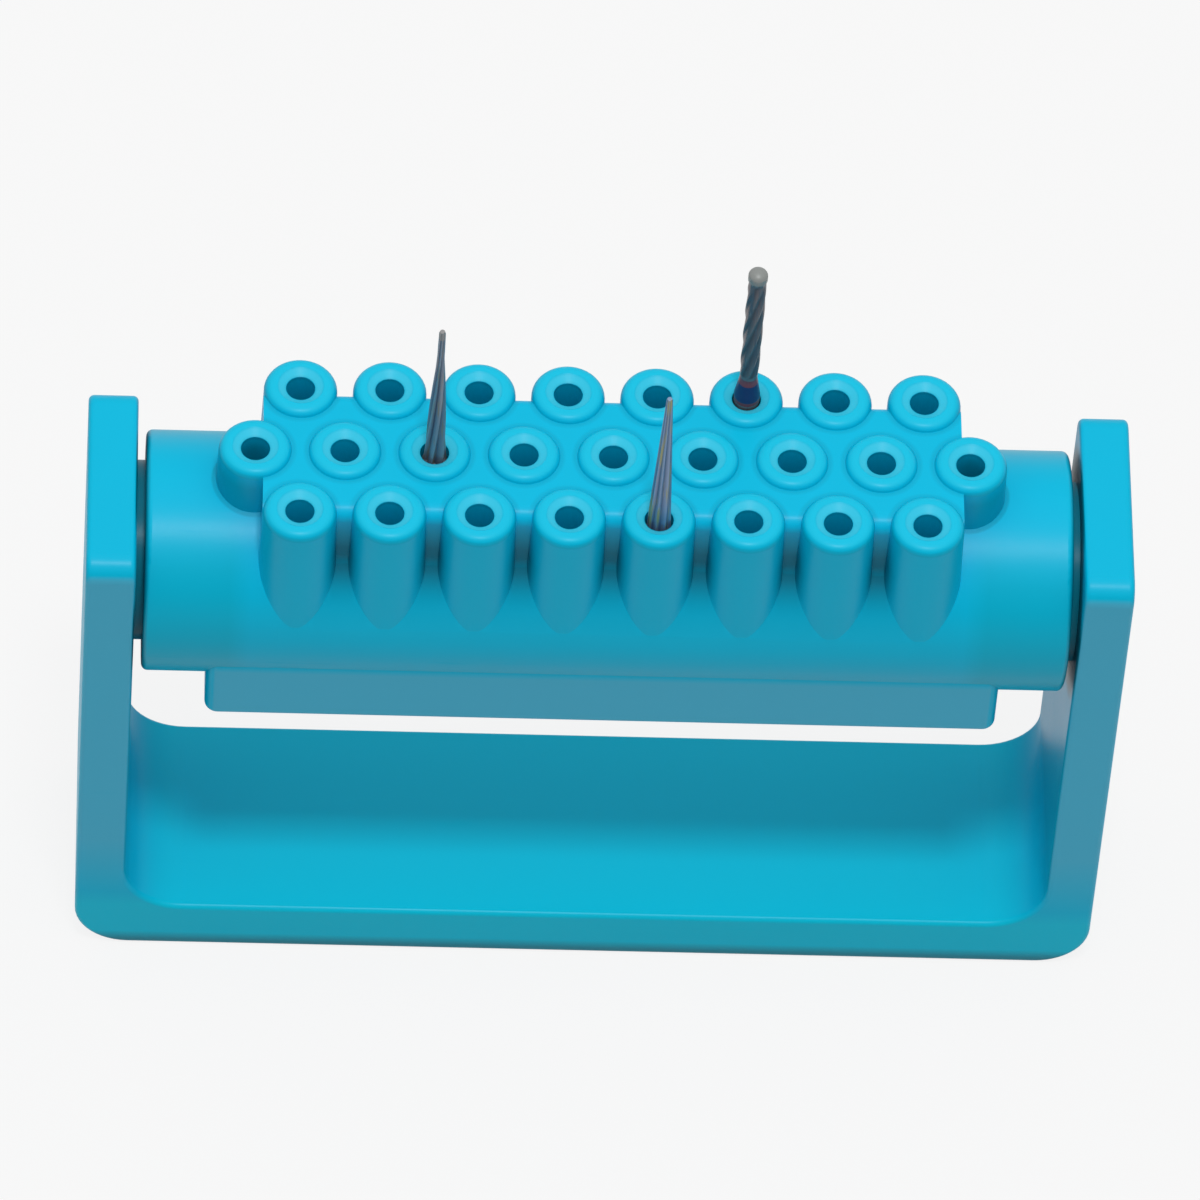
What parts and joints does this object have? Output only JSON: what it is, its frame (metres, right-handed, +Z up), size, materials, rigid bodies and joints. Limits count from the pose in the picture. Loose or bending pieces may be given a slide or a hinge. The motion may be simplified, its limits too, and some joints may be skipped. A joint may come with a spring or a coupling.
{
  "type": "bur disinfection block",
  "caption": "Bur disinfection block: a U-shaped plastic stand that carries a turning drum with staggered upright bur holes; slim burs stand in some of them.",
  "frame": {"origin": "centre of the base plate's underside, midway between the arms and between front and back", "axes": "+X along the drum's axis to the right as seen from the front, +Y to the back, +Z up"},
  "size_m": [0.0938, 0.0216, 0.0799],
  "materials": {
    "stand_plastic": "smooth moulded turquoise plastic",
    "drum_plastic": "smooth moulded turquoise plastic",
    "bur_steel": "ground hardened steel",
    "dark_bur_steel": "dark ground steel with a painted ring"
  },
  "bodies": {
    "stand": {"stand": "stand_plastic"},
    "drum": {"holder_drum": "drum_plastic", "tapered_bur_middle": "bur_steel", "tapered_bur_front": "bur_steel", "round_end_bur": "dark_bur_steel"}
  },
  "joints": [
    {"name": "drum_turn", "type": "hinge", "parent": "stand", "child": "drum", "pos_m": [0, 0, 0.04625], "axis": [1, 0, 0], "continuous": true}
  ]
}
